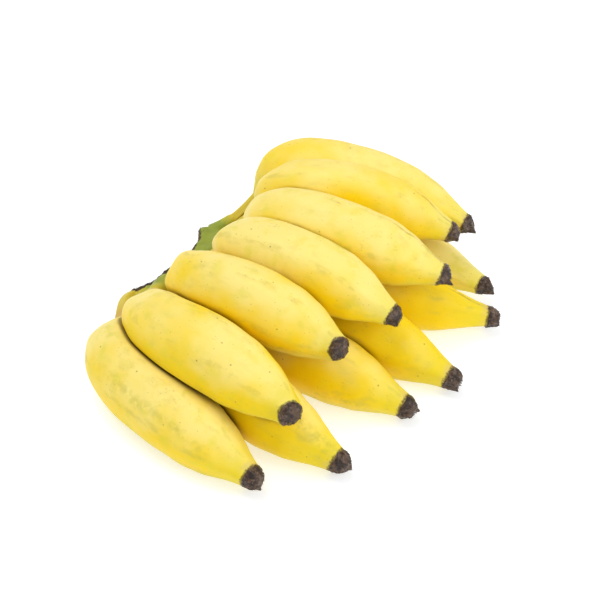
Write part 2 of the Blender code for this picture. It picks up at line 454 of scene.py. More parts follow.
class GeometryTree:
    """A Geometry Nodes tree with named inputs, which a modifier runs on a piece."""

    NAME = "tree"
    INPUTS: tuple[tuple[str, str], ...] = ()

    def __init__(self) -> None:
        """Make the tree's sockets and let build fill it."""
        self.tree = bpy.data.node_groups.new(self.NAME, "GeometryNodeTree")
        self.ids = {}
        for name, kind in (("Geometry", "Geometry"), *self.INPUTS):
            socket = self.tree.interface.new_socket(
                name=name, in_out="INPUT", socket_type="NodeSocket" + kind
            )
            self.ids[name] = socket.identifier
        self.tree.interface.new_socket(
            name="Geometry", in_out="OUTPUT", socket_type="NodeSocketGeometry"
        )
        self.wiring = Wiring(self.tree)
        self.given = self.wiring.node("NodeGroupInput").outputs
        self.wiring.node("NodeGroupOutput", {0: self.close(self.build())})

    def build(self) -> Socket:
        """Fill the tree. Each kind of tree has its own."""
        raise NotImplementedError

    def close(self, geometry: Socket) -> Socket:
        """The last nodes of every tree: smooth, realised, and in its material."""
        add = self.wiring.node
        smooth = add("GeometryNodeSetShadeSmooth", {0: geometry}).outputs[0]
        real = add("GeometryNodeRealizeInstances", {0: smooth}).outputs[0]
        dressed = add("GeometryNodeSetMaterial", {0: real, "Material": self.given["Material"]})
        return dressed.outputs[0]

    def named(self, name: str, kind: str = "FLOAT") -> Socket:
        """An attribute of the geometry, read by its name."""
        made = self.wiring.node("GeometryNodeInputNamedAttribute", {0: name}, data_type=kind)
        return made.outputs[0]

    def stored(self, geometry: Socket, name: str, value: Socket) -> Socket:
        """The geometry with a number kept at each point under this name."""
        inputs = {"Geometry": geometry, "Name": name, "Value": value}
        made = self.wiring.node(
            "GeometryNodeStoreNamedAttribute", inputs, data_type="FLOAT", domain="POINT"
        )
        return made.outputs[0]

    def run(self, obj: bpy.types.Object, **values: Any) -> bpy.types.Object:
        """Run the tree on the object and keep the result as its mesh.

        Args:
            obj: The object, which ends with no modifier.
            values: The tree's inputs, whose names are given with _ for a space.

        Returns:
            The object.
        """
        modifier = obj.modifiers.new(self.NAME, "NODES")
        modifier.node_group = self.tree
        for key, value in values.items():
            modifier[self.ids[key.replace("_", " ")]] = value
        return bake(obj)


class GrownTube(GeometryTree):
    """A tube along a line of points, with soft ridges along it and an uneven skin.

    The line's points carry the attributes thickness (the radius), centre (their own place) and
    facet (how deep the hollows between the ridges are there, as a share of the radius).
    """

    NAME = "grown_tube"
    INPUTS = (
        ("Sides", "Int"),
        ("Ridges", "Float"),
        ("Roll", "Float"),
        ("Sharpness", "Float"),
        ("Lump Size", "Float"),
        ("Lump Height", "Float"),
        ("Seed", "Float"),
        ("Material", "Material"),
    )
    LUMP_DETAIL = 3.0

    def build(self) -> Socket:
        """The tube, moved in between its ridges and roughened."""
        add = self.wiring.node
        math_node = self.wiring.math
        times = self.wiring.times
        given = self.given
        line = add("GeometryNodeMeshToCurve", {0: given["Geometry"]}).outputs[0]
        line = add("GeometryNodeSetCurveNormal", {0: line}, mode="Z_UP").outputs[0]
        ring = add("GeometryNodeCurvePrimitiveCircle", {0: given["Sides"], 4: 1.0})
        index = add("GeometryNodeInputIndex").outputs[0]
        turn = math_node("DIVIDE", index, given["Sides"])
        ring = self.stored(ring.outputs[0], "around", turn)
        inputs = {0: line, 1: ring, 2: self.named("thickness"), 3: True}
        tube = add("GeometryNodeCurveToMesh", inputs).outputs[0]

        angle = times(self.named("around"), 2 * math.pi)
        angle = math_node("ADD", angle, given["Roll"])
        half = math_node("DIVIDE", given["Ridges"], 2.0)
        wave = math_node("ABSOLUTE", math_node("SINE", times(angle, half)))
        hollow = math_node("POWER", wave, given["Sharpness"])
        tube = self.stored(tube, "hollow", hollow)

        place = add("GeometryNodeInputPosition").outputs[0]
        size = math_node("DIVIDE", 1.0, given["Lump Size"])
        spots = add(
            "ShaderNodeTexNoise",
            {"Vector": place, "W": given["Seed"], "Scale": size, "Detail": self.LUMP_DETAIL},
            noise_dimensions="4D",
        ).outputs[0]
        tube = self.stored(tube, "lump", self.wiring.swing(spots, 2.0))

        outward = self.wiring.vector_math("SUBTRACT", place, self.named("centre", "FLOAT_VECTOR"))
        outward = self.wiring.vector_math("NORMALIZE", outward)
        depth = times(self.named("facet"), self.named("thickness"))
        inwards = times(depth, self.named("hollow"))
        rise = times(self.named("lump"), given["Lump Height"])
        offset = self.wiring.scaled(outward, math_node("SUBTRACT", rise, inwards))
        return add("GeometryNodeSetPosition", {0: tube, "Offset": offset}).outputs[0]


class Fibres(GeometryTree):
    """Small dried fibres and scales over a piece, where its attribute fibrous says so."""

    NAME = "dried_fibres"
    INPUTS = (
        ("Along", "Vector"),
        ("Lift", "Float"),
        ("Length", "Float"),
        ("Width", "Float"),
        ("Spacing", "Float"),
        ("Seed", "Int"),
        ("Material", "Material"),
    )
    # How many points are tried for each spacing squared, before the close ones are dropped.
    CROWDING = 1.5
    SIDES = 5
    SEGMENTS = 2
    TIP_WIDTH = 0.25
    # How far a fibre's way is off at most, and the smallest fibre as a share of the largest.
    ASTRAY = 0.25
    SMALLEST = 0.45

    def build(self) -> Socket:
        """The piece, with a thin spindle standing at each scattered point."""
        add = self.wiring.node
        given = self.given
        apart = self.wiring.times(given["Spacing"], given["Spacing"])
        inputs = {
            "Mesh": given["Geometry"],
            "Distance Min": given["Spacing"],
            "Density Max": self.wiring.math("DIVIDE", self.CROWDING, apart),
            "Density Factor": self.named("fibrous"),
            "Seed": given["Seed"],
        }
        spots = add(
            "GeometryNodeDistributePointsOnFaces", inputs, distribute_method="POISSON"
        )
        inputs = {
            "Vertices": self.SIDES,
            "Side Segments": self.SEGMENTS,
            "Radius Top": self.TIP_WIDTH,
            "Radius Bottom": 1.0,
            "Depth": 1.0,
        }
        fibre = add("GeometryNodeMeshCone", inputs, fill_type="NGON")

        normal = spots.outputs["Normal"]
        through = self.wiring.vector_math("PROJECT", given["Along"], normal)
        way = self.wiring.vector_math("SUBTRACT", given["Along"], through)
        way = self.wiring.vector_math("ADD", way, self.wiring.scaled(normal, given["Lift"]))
        scatter = add(
            "FunctionNodeRandomValue",
            {0: (-self.ASTRAY,) * 3, 1: (self.ASTRAY,) * 3, "Seed": given["Seed"]},
            data_type="FLOAT_VECTOR",
        ).outputs[0]
        way = self.wiring.vector_math("ADD", way, scatter)
        turned = add("FunctionNodeAlignRotationToVector", {"Vector": way}, axis="Z").outputs[0]
        size = add(
            "FunctionNodeRandomValue",
            {2: self.SMALLEST, 3: 1.0, "Seed": given["Seed"]},
            data_type="FLOAT",
        ).outputs[1]
        shape = add(
            "ShaderNodeCombineXYZ", {0: given["Width"], 1: given["Width"], 2: given["Length"]}
        )
        inputs = {
            "Points": spots.outputs["Points"],
            "Instance": fibre.outputs[0],
            "Rotation": turned,
            "Scale": self.wiring.scaled(shape.outputs[0], size),
        }
        grown = add("GeometryNodeInstanceOnPoints", inputs).outputs[0]
        joined = add("GeometryNodeJoinGeometry", {0: grown})
        self.wiring.tree.links.new(given["Geometry"], joined.inputs[0])
        return joined.outputs[0]


# ---------------------------------------------------------------------------- finishes


@dataclass(frozen=True)
class Dots:
    """Round dots in some of a pattern's cells, which fade from a core out to an edge.

    A cell has a number of its own: below hidden it has no dot, and above shown a strong one.
    """

    cell: float
    edge: float
    core: float
    hidden: float
    shown: float
    strength: float

    def wire(self, w: SurfaceWiring, place: Socket) -> Socket:
        """How much of a dot there is at each place."""
        distance, number = w.cells(place, self.cell)
        shape = w.rise(distance, self.edge, self.core)
        return w.times(shape, w.rise(number, self.hidden, self.shown, self.strength))


@dataclass(frozen=True)
class GreenToYellow:
    """The colours from the green crown out along the stalks, which the peel carries on."""

    green: Colour = srgb(150, 163, 50)
    lime: Colour = srgb(190, 184, 46)
    straw: Colour = srgb(216, 192, 56)
    green_until: float = 6.2 * MM
    lime_at: float = 8.6 * MM
    straw_at: float = 12.5 * MM
    patch_size: float = 5 * MM
    waver: float = 5 * MM

    def wire(self, w: SurfaceWiring) -> Socket:
        """The colour at each place, by how far it is from the middle of the crown."""
        uneven = w.noise(w.attribute("straight", "Vector"), self.patch_size, 3.0)
        reach = w.math("ADD", w.attribute("reach"), w.swing(uneven, self.waver))
        colour = w.mix(w.rise(reach, self.green_until, self.lime_at), self.green, self.lime)
        return w.mix(w.rise(reach, self.lime_at, self.straw_at), colour, self.straw)


@dataclass(frozen=True)
class PeelFinish:
    """Ripe yellow peel: waxy, with painted light that makes it pale on the back and deeper at the
    sides, painted shade on its underside and in its creases, and finely mottled.
    """

    deep: Colour = srgb(247, 212, 5)
    # Painted light: the pale colour of the back, where it faces up to the lamps.
    painted_top_light: Colour = srgb(250, 229, 130)
    warm: Colour = srgb(248, 214, 52)
    unripe: Colour = srgb(222, 212, 56)
    # Painted shade: the duller, darker colour of the underside.
    under: Colour = srgb(204, 194, 86)
    olive: Colour = srgb(196, 182, 72)
    moss: Colour = srgb(178, 170, 48)
    freckle: Colour = srgb(128, 104, 44)
    # Painted shade: the darker olive-brown in the creases where fruits press together.
    crease_shade: Colour = srgb(126, 98, 22)
    scuff: Colour = srgb(176, 150, 66)
    tan: Colour = srgb(206, 166, 84)
    collar: Colour = srgb(214, 188, 118)
    dry: Colour = srgb(74, 58, 36)

    blotch_size: float = 30 * MM
    cloud_size: float = 12 * MM
    veil_size: float = 8 * MM
    smudge_size: float = 5 * MM
    smudged_area: float = 20 * MM
    streak_size: float = 1.2 * MM
    streaked_area: float = 16 * MM
    speck_size: float = 2.4 * MM
    ragged_size: float = 1.1 * MM
    grain_size: float = 0.9 * MM
    fibre_size: float = 1.3 * MM
    freckles: tuple[Dots, ...] = (
        Dots(5.0 * MM, 0.11, 0.055, 0.6, 0.95, 0.6),
        Dots(1.6 * MM, 0.22, 0.11, 0.7, 0.95, 0.3),
    )

    least_rough: float = 0.38
    rough_range: float = 0.24
    shine: float = 0.22
    glow_depth: float = 1.5 * MM

    def make(self) -> bpy.types.Material:
        """Build the material."""
        w = SurfaceWiring("banana_peel")
        straight = w.attribute("straight", "Vector")
        cloud = w.noise(straight, self.cloud_size, 4.0, Distortion=0.5)
        veil = w.noise(w.vector_math("ADD", straight, (0.3, 0.1, 0.2)), self.veil_size, 5.0)
        colour = self.ripened(w, straight, cloud, veil)
        colour = self.mottled(w, straight, colour)
        for dots in self.freckles:
            colour = w.mix(dots.wire(w, straight), colour, self.freckle)
        colour = self.scuffed(w, straight, colour)
        colour = self.ended(w, straight, cloud, colour)
        return w.finish(
            Base_Color=colour,
            Roughness=w.math("ADD", w.times(veil, self.rough_range), self.least_rough),
            Normal=self.relief(w, straight, cloud),
            Specular_IOR_Level=self.shine,
            Subsurface_Weight=0.05,
            Subsurface_Radius=(1.0, 0.5, 0.12),
            Subsurface_Scale=self.glow_depth,
            Coat_Weight=0.04,
            Coat_Roughness=0.4,
        )

    def ripened(self, w: SurfaceWiring, straight: Socket, cloud: Socket, veil: Socket) -> Socket:
        """Painted light on the back over deep yellow, greener where less ripe, with painted shade
        on the underside and in the creases where fruits press together.
        """
        ripeness = w.attribute("ripeness")
        unevenness = w.swing(w.noise(straight, self.blotch_size, 3.0), 2.4)
        # The back is made paler where it faces up: painted light.
        back = w.math("ADD", w.attribute("back"), unevenness)
        back = w.math("SUBTRACT", back, ripeness)
        colour = w.mix(w.rise(back, -0.5, 0.65), self.deep, self.painted_top_light)
        colour = w.mix(w.rise(cloud, 0.52, 0.75, 0.35), colour, self.warm)
        green = w.math("SUBTRACT", 1.15, ripeness)
        veiled = w.times(w.rise(veil, 0.5, 0.72, 0.55), green)
        colour = w.mix(veiled, colour, self.unripe)
        # Painted shade: the underside, where it faces down, is made duller and darker.
        colour = w.mix(w.rise(w.attribute("back"), -0.15, -0.75, 0.55), colour, self.under)
        along = w.attribute("along")
        tip = w.rise(along, 0.84, 1.0, 0.45)
        neck = w.rise(along, 0.14, 0.0, 0.6)
        colour = w.mix(w.math("MAXIMUM", tip, neck), colour, self.unripe)
        # Painted shade in the creases, where the skin is pressed in by the other fruit.
        return w.mix(w.times(w.attribute("contact_shade"), 0.75), colour, self.crease_shade)

    def mottled(self, w: SurfaceWiring, straight: Socket, colour: Socket) -> Socket:
        """Faint olive smudges, and a broken line of them along each ridge."""
        drawn = w.vector_math("MULTIPLY", straight, (1.0, 1.0, 0.6))
        smudge = w.noise(drawn, self.smudge_size, 4.0, Roughness=0.55)
        where = w.noise(straight, self.smudged_area, 2.0)
        soft = w.times(w.rise(smudge, 0.46, 0.72), w.rise(where, 0.42, 0.66, 0.30))
        crest = w.rise(w.attribute("crest"), 0.80, 0.97)
        line = w.times(crest, w.rise(smudge, 0.46, 0.66, 0.36))
        return w.mix(w.math("MAXIMUM", soft, line), colour, self.olive)

    def scuffed(self, w: SurfaceWiring, straight: Socket, colour: Socket) -> Socket:
        """Fine rubbed streaks along the finger in a few places, and where a mark is."""
        drawn = w.vector_math("MULTIPLY", straight, (1.0, 1.0, 0.4))
        streaks = w.noise(drawn, self.streak_size, 6.0, Roughness=0.7)
        patches = w.noise(straight, self.streaked_area, 2.0)
        rub = w.times(w.rise(streaks, 0.54, 0.66), w.rise(patches, 0.58, 0.70, 0.35))
        colour = w.mix(rub, colour, self.scuff)
        specks = w.noise(straight, self.speck_size, 5.0, Roughness=0.6)
        tinge = w.times(w.rise(specks, 0.34, 0.62, 0.62), w.attribute("tinge"))
        colour = w.mix(tinge, colour, self.moss)
        mark = w.times(w.rise(streaks, 0.36, 0.50, 0.85), w.attribute("mark"))
        return w.mix(mark, colour, self.freckle)

    def ended(
        self, w: SurfaceWiring, straight: Socket, cloud: Socket, colour: Socket
    ) -> Socket:
        """The colours of both ends: the stalk's, and a dry collar around the dried flower."""
        along = w.attribute("along")
        colour = w.mix(w.rise(along, 0.035, -0.03), colour, GreenToYellow().wire(w))
        colour = w.mix(w.times(w.attribute("dryness"), 0.8), colour, self.tan)
        ragged = w.noise(straight, self.ragged_size, 3.0)
        edge = w.math("ADD", along, w.swing(ragged, 0.02))
        rim = w.times(w.rise(edge, 0.965, 0.992), w.rise(cloud, 0.40, 0.62, 0.55))
        colour = w.mix(rim, colour, self.collar)
        return w.mix(w.rise(edge, 0.990, 1.0, 0.85), colour, self.dry)

    def relief(self, w: SurfaceWiring, straight: Socket, cloud: Socket) -> Socket:
        """The fine relief: grain, fibres along the finger and shallow dents."""
        grain = w.noise(straight, self.grain_size, 4.0)
        drawn = w.vector_math("MULTIPLY", straight, (1.0, 1.0, 0.16))
        fibre = w.noise(drawn, self.fibre_size, 3.0)
        normal = w.bump(grain, 0.35, 0.06 * MM)
        normal = w.bump(fibre, 0.35, 0.12 * MM, normal)
        return w.bump(cloud, 0.6, 0.6 * MM, normal)


@dataclass(frozen=True)
class CrownFinish:
    """Green crown tissue with a dried, nearly black cut face."""

    cut_dark: Colour = srgb(66, 55, 40)
    cut_light: Colour = srgb(126, 102, 70)
    cut_pale: Colour = srgb(172, 144, 98)
    strand: Colour = srgb(54, 43, 31)
    scar: Colour = srgb(84, 66, 36)
    shade: Colour = srgb(112, 128, 40)

    cloud_size: float = 6 * MM
    patch_size: float = 8 * MM
    stain_size: float = 5 * MM
    ragged_size: float = 1.6 * MM
    fibre_size: float = 0.8 * MM
    pits: Dots = Dots(2.4 * MM, 0.24, 0.10, 0.7, 0.9, 0.6)
    strands: Dots = Dots(2.6 * MM, 0.30, 0.16, 0.3, 0.5, 0.8)

    def make(self) -> bpy.types.Material:
        """Build the material."""
        w = SurfaceWiring("crown_tissue")
        place = w.attribute("straight", "Vector")
        cloud = w.noise(place, self.cloud_size, 4.0)
        fibre = w.noise(
            w.vector_math("MULTIPLY", place, (1.0, 1.0, 0.3)), self.fibre_size, 4.0
        )
        ragged = w.noise(place, self.ragged_size, 4.0)
        cut = w.math("ADD", w.attribute("cut"), w.swing(ragged))
        colour = self.fresh(w, place, cloud)
        colour = w.mix(w.rise(cut, 0.30, 0.55), colour, self.dried(w, place, fibre))
        colour = w.mix(w.times(w.attribute("scar"), 0.85), colour, self.scar)
        normal = w.bump(fibre, 0.6, 0.25 * MM)
        return w.finish(
            Base_Color=colour,
            Roughness=w.math("ADD", w.rise(cut, 0.2, 0.6, 0.35), 0.48),
            Normal=w.bump(cloud, 0.5, 0.6 * MM, normal),
            Specular_IOR_Level=0.38,
        )

    def fresh(self, w: SurfaceWiring, place: Socket, cloud: Socket) -> Socket:
        """The living tissue: green with darker clouds, and a few small brown pits."""
        colour = GreenToYellow().wire(w)
        green = w.rise(w.attribute("reach"), 11 * MM, 6 * MM)
        colour = w.mix(w.times(w.rise(cloud, 0.45, 0.7, 0.4), green), colour, self.shade)
        return w.mix(self.pits.wire(w, place), colour, self.scar)

    def dried(self, w: SurfaceWiring, place: Socket, fibre: Socket) -> Socket:
        """The cut face: paler in patches, with dark strands cut across and a dark rim."""
        colour = w.mix(w.rise(fibre, 0.40, 0.66), self.cut_dark, self.cut_light)
        patch = w.noise(place, self.patch_size, 4.0, Roughness=0.6)
        colour = w.mix(w.rise(patch, 0.46, 0.64, 0.7), colour, self.cut_pale)
        elsewhere = w.vector_math("ADD", place, (0.2, 0.4, 0.1))
        stain = w.noise(elsewhere, self.stain_size, 4.0)
        colour = w.mix(w.rise(stain, 0.52, 0.68, 0.75), colour, self.cut_dark)
        colour = w.mix(self.strands.wire(w, place), colour, self.strand)
        return w.mix(w.times(w.attribute("rim"), 0.75), colour, self.strand)


@dataclass(frozen=True)
class BlossomFinish:
    """The dried flower: nearly black, with grey-brown fibres that catch the light."""

    dark: Colour = srgb(50, 38, 31)
    brown: Colour = srgb(90, 68, 52)
    grey: Colour = srgb(132, 110, 94)
    rust: Colour = srgb(112, 78, 52)

    fibre_size: float = 0.7 * MM
    patch_size: float = 2.6 * MM
    rusty_size: float = 1.9 * MM

    def make(self) -> bpy.types.Material:
        """Build the material."""
        w = SurfaceWiring("dried_blossom")
        place = w.node("ShaderNodeTexCoord").outputs["Object"]
        fibre = w.noise(place, self.fibre_size, 5.0, Roughness=0.7)
        patch = w.noise(place, self.patch_size, 3.0)
        rusty = w.noise(place, self.rusty_size, 2.0)
        high = w.math("ADD", w.times(w.attribute("lump"), 0.5), fibre)
        colour = w.mix(w.rise(patch, 0.40, 0.64), self.dark, self.brown)
        colour = w.mix(w.rise(high, 0.50, 0.78, 0.75), colour, self.grey)
        colour = w.mix(w.rise(rusty, 0.58, 0.70, 0.5), colour, self.rust)
        return w.finish(
            Base_Color=colour,
            Roughness=w.rise(patch, 0.2, 0.8, 0.3),
            Normal=w.bump(fibre, 0.8, 0.3 * MM),
            Specular_IOR_Level=0.3,
        )


# ---------------------------------------------------------------------------- the hand


@dataclass(frozen=True)
class Crescent:
    """Where the crown is, and the arc that the stalks start from."""

    middle: tuple[float, float]
    height: float
    radius: float = 57.0 * MM
    half_angle: float = 27.5
    thickness: float = 11.0 * MM
    depth: float = 15.0 * MM
    # How much further out the first finger's end seems, for its colour.
    riper: float = 2.4 * MM
    # What a step along each axis counts for in that distance.
    weights: tuple[float, float, float] = (1.0, 1.0, 0.5)

    @classmethod
    def from_frame(cls) -> "Crescent":
        """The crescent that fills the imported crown's box."""
        low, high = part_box("crown")
        middle = (high.x - cls.thickness / 2, (low.y + high.y) / 2)
        return cls(middle=middle, height=(low.z + high.z) / 2)

    def point(
        self, angle: float, radius: float | None = None, height: float | None = None
    ) -> np.ndarray:
        """The point at this angle in degrees along the arc, or at another radius or height."""
        turn = math.radians(angle)
        out = self.radius if radius is None else radius
        x = self.middle[0] + out * math.cos(turn) - self.radius
        y = self.middle[1] + out * math.sin(turn)
        return np.array((x, y, self.height if height is None else height))

    def station(self, station: Station) -> np.ndarray:
        """A station (heading in degrees, reach in mm, height in mm) as a point."""
        heading, reach, height = station
        turn = math.radians(heading)
        x = self.middle[0] + reach * MM * math.cos(turn)
        y = self.middle[1] + reach * MM * math.sin(turn)
        return np.array((x, y, height * MM))

    def polar(self, points: np.ndarray) -> tuple[np.ndarray, np.ndarray]:
        """The angle in degrees and the distance from the arc's centre of each point."""
        x = points[:, 0] - self.middle[0] + self.radius
        y = points[:, 1] - self.middle[1]
        return np.degrees(np.arctan2(y, x)), np.hypot(x, y)

    def reach(self, points: np.ndarray) -> np.ndarray:
        """How far each point is from the arc's line, for its colour.

        Height counts for half, and the first finger's end is as ripe as a place further out.

        Args:
            points: The points.

        Returns:
            The distance of each.
        """
        angle, _ = self.polar(points)
        turn = np.radians(np.clip(angle, -self.half_angle, self.half_angle))
        x = self.middle[0] + self.radius * np.cos(turn) - self.radius
        y = self.middle[1] + self.radius * np.sin(turn)
        near = np.stack((x, y, np.full(len(points), self.height)), axis=1)
        riper = self.riper * smoothstep(angle, 5.0, -25.0)
        return np.linalg.norm((points - near) * self.weights, axis=1) + riper


@dataclass(frozen=True)
class Roots:
    """Where a row's stalks start on the crescent."""

    first_angle: float
    step: float
    height: float


ROOTS = {
    Row.LOWER: Roots(-26.5, 9.5, 10.5 * MM),
    Row.UPPER: Roots(-21.0, 9.5, 17.0 * MM),
}


@dataclass(frozen=True)
class Mark:
    """A rubbed mark: where it is along the body and around it, and its size."""

    along: float
    side: float
    length: float
    width: float = 1.2 * MM
    slant: float = 0.0
    green: bool = False


@dataclass
class Fruit:
    """One banana with its own stalk, and what is its own about its dried end.

    A station is (heading in degrees, reach in mm, height in mm) from the crown's middle. The
    girth is in mm, and the roll of its ridges in degrees. Flower is its dried end's length as a
    share of a long one's, taper how much that end slims, and style how far its stub stands out.
    """

    row: Row
    number: int
    girth: float
    neck: Station
    shoulder: Station
    back: Station
    tip: Station
    elbow: Station | None = None
    hook: Station | None = None
    roll: float = 0.0
    ripeness: float = 0.5
    flower: float = 1.0
    taper: float = 0.15
    style: float = 1.6 * MM
    marks: tuple[Mark, ...] = ()

    # The radius along the body, as shares of its length from neck to tip and of its radius.
    GIRTHS = (
        (0.00, 0.28),
        (0.04, 0.48),
        (0.10, 0.73),
        (0.18, 0.90),
        (0.30, 0.98),
        (0.50, 1.00),
        (0.68, 0.96),
        (0.80, 0.83),
        (0.89, 0.62),
        (0.95, 0.45),
        (1.00, 0.345),
    )
    STALK_ROOT = 0.24
    STALK = 0.21
    # How deep the hollows between the five ridges are along the body.
    FACETS = ((-1.0, 0.13), (-0.1, 0.13), (0.04, 0.11), (0.25, 0.045), (0.7, 0.04), (1.0, 0.09))
    RING_STEP = 0.85 * MM
    SIDES = 128
    RIDGES = 5.0
    SHARPNESS = 1.7
    LUMP_SIZE = 26 * MM
    LUMP_HEIGHT = 0.7 * MM
    NEIGHBOUR_STEP = 1.5 * MM
    # The rim that turns in under the dried flower: mm past the tip and share of the radius.
    RIM = ((0.25, 0.985), (0.5, 0.94), (0.7, 0.86), (0.8, 0.7), (0.85, 0.45), (0.9, 0.15))
    GAP = 0.15 * MM
    BLEND = 1.9 * MM
    FLOOR_BLEND = 0.5 * MM
    # How far the skin is pushed in where the painted shade in the crease between fruits starts, and
    # where it is full.
    SHADED_PRESS = (0.05 * MM, 0.7 * MM)
    # How far apart, in metres, the fruit read the patterns of the peel.
    PATTERN_SHIFT = 0.37
    # Where on the body the dry neck is, and its length, as shares of the body.
    DRY_NECK = (-0.02, 0.05)
    # The size and height of the waves in a mark's outline.
    WAVER_SIZE = 11 * MM
    WAVER = 2.2 * MM
    # The size of the gaps in a mark, its usual strength and how much that varies.
    FAINT_SIZE = 5 * MM
    FAINT = 0.55
    FAINT_RANGE = 0.6

    @property
    def name(self) -> str:
        """The piece's name."""
        return f"{self.row.value}_banana_{self.number}"

    @property
    def node(self) -> str:
        """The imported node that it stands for."""
        return f"{self.row.value}_finger_{self.number}"

    @property
    def seed(self) -> int:
        """A number of its own, which gives it its own part of every pattern."""
        return self.number + (10 if self.row is Row.UPPER else 0)

    def curve(self, crescent: Crescent) -> np.ndarray:
        """The middle line from the crown to the tip."""
        roots = ROOTS[self.row]
        root = crescent.point(
            roots.first_angle + roots.step * (self.number - 1), height=roots.height
        )
        given = (self.elbow, self.neck, self.shoulder, self.back, self.tip, self.hook)
        return natural_spline([root] + [crescent.station(s) for s in given if s])

    def rings(self, crescent: Crescent, step: float) -> dict[str, np.ndarray]:
        """The middle line as rings.

        Args:
            crescent: The crown's arc.
            step: The distance between rings.

        Returns:
            The rings' centre, thickness (radius), along (the share of the body, below 0 on the
            stalk) and distance (along the line, 0 at the neck).
        """
        curve = self.curve(crescent)
        length = lengths_along(curve)
        nearest = np.linalg.norm(curve - crescent.station(self.neck), axis=1).argmin()
        neck = length[nearest]
        body = length[-1] - neck
        stalk_at = np.linspace(0.0, neck, math.ceil(neck / step), endpoint=False)
        body_at = np.linspace(neck, neck + body, math.ceil(body / step) + 1)
        stalk = np.interp(
            stalk_at, (0.0, neck / 2, neck), (self.STALK_ROOT, self.STALK, self.GIRTHS[0][1])
        )
        share = smooth_table(self.GIRTHS, (body_at - neck) / body)
        at = np.concatenate((stalk_at, body_at))
        return {
            "centre": points_at(curve, at),
            "thickness": np.concatenate((stalk, share)) * self.girth / 2 * MM,
            "along": (at - neck) / body,
            "distance": at - neck,
        }

    def closed_rings(self, crescent: Crescent) -> dict[str, np.ndarray]:
        """The fine rings, with the rim that turns in under the dried flower."""
        rings = self.rings(crescent, self.RING_STEP)
        heading = directions(rings["centre"])[-1]
        out, share = np.array(self.RIM).T
        rim = {
            "centre": rings["centre"][-1] + np.outer(out * MM, heading),
            "thickness": rings["thickness"][-1] * share,
            "along": np.full(len(out), 1.0),
            "distance": rings["distance"][-1] + out * MM,
        }
        return {key: np.concatenate((rings[key], rim[key])) for key in rings}

    def build(
        self, crescent: Crescent, others: list["Fruit"], tube: GrownTube, peel: bpy.types.Material
    ) -> bpy.types.Object:
        """Make the banana.

        Args:
            crescent: The crown's arc.
            others: The fruit that it may press on.
            tube: The tree that makes its skin.
            peel: Its material.

        Returns:
            The piece.
        """
        rings = self.closed_rings(crescent)
        rings["facet"] = np.interp(rings["along"], *np.array(self.FACETS).T)
        rings["heading"] = directions(rings["centre"])
        obj = new_object(self.name, line_mesh(self.name, rings["centre"], rings))
        tube.run(
            obj,
            Sides=self.SIDES,
            Ridges=self.RIDGES,
            Roll=math.radians(self.roll),
            Sharpness=self.SHARPNESS,
            Lump_Size=self.LUMP_SIZE,
            Lump_Height=self.LUMP_HEIGHT,
            Seed=float(self.seed),
            Material=peel,
        )
        self.describe(obj.data, crescent)
        self.press(obj.data, crescent, others)
        return obj

    def describe(self, mesh: bpy.types.Mesh, crescent: Crescent) -> None:
        """Keep what the peel's material reads: where each point is on a straightened fruit.

        Args:
            mesh: The skin.
            crescent: The crown's arc.
        """
        points = read_points(mesh)
        outward = points - read_attribute(mesh, "centre")
        heading = read_attribute(mesh, "heading")
        radius = read_attribute(mesh, "thickness")
        across = np.cross(heading, (0.0, 0.0, 1.0))
        across /= np.linalg.norm(across, axis=1)[:, None]
        up = np.cross(across, heading)
        side = np.arctan2((outward * across).sum(axis=1), (outward * up).sum(axis=1))
        distance = read_attribute(mesh, "distance")
        straight = np.stack((radius * np.sin(side), radius * np.cos(side), distance), axis=1)
        along = read_attribute(mesh, "along")
        store_attribute(mesh, "straight", straight + self.seed * self.PATTERN_SHIFT)
        store_attribute(mesh, "crest", 1.0 - read_attribute(mesh, "hollow"))
        store_attribute(mesh, "reach", crescent.reach(points))
        store_attribute(mesh, "ripeness", np.full(len(points), self.ripeness))
        # How much the skin faces up, which the peel uses to paint light on the back and shade on
        # the underside.
        store_attribute(mesh, "back", np.cos(side))
        store_attribute(mesh, "dryness", self.dryness(along))
        off = side * radius + rough(straight, self.WAVER_SIZE, self.seed) * self.WAVER
        gaps = rough(straight, self.FAINT_SIZE, self.seed + 0.5)
        faint = np.clip(self.FAINT + self.FAINT_RANGE * gaps, 0.0, 1.0)
        for name, green in (("mark", False), ("tinge", True)):
            shown = self.marked(green, along, off, distance, radius)
            store_attribute(mesh, name, shown * faint)

    def dryness(self, along: np.ndarray) -> np.ndarray:
        """How tan the skin is: only a stalk with an elbow has a dry neck."""
        if not self.elbow:
            return np.zeros(len(along))
        at, length = self.DRY_NECK
        return np.exp(-(((along - at) / length) ** 2))

    def marked(
        self,
        green: bool,
        along: np.ndarray,
        around: np.ndarray,
        distance: np.ndarray,
        radius: np.ndarray,
    ) -> np.ndarray:
        """How much of a mark there is at each point, from 0 to 1.

        Args:
            green: Whether it is for the green marks or for the rubbed brown ones.
            along: The points' share of the body.
            around: How far they are around the fruit from its top.
            distance: How far they are along the line from the neck.
            radius: How thick the fruit is there.

        Returns:
            A number for each point.
        """
        shown = np.zeros(len(along))
        for mark in self.marks:
            if mark.green is not green:
                continue
            nearest = np.abs(along - mark.along).argmin()
            run = distance - distance[nearest]
            off = around - math.radians(mark.side) * radius - run * mark.slant
            gauss = np.exp(-((run / (mark.length / 2)) ** 4) - (off / (mark.width / 2)) ** 2)
            shown = np.maximum(shown, gauss)
        return shown

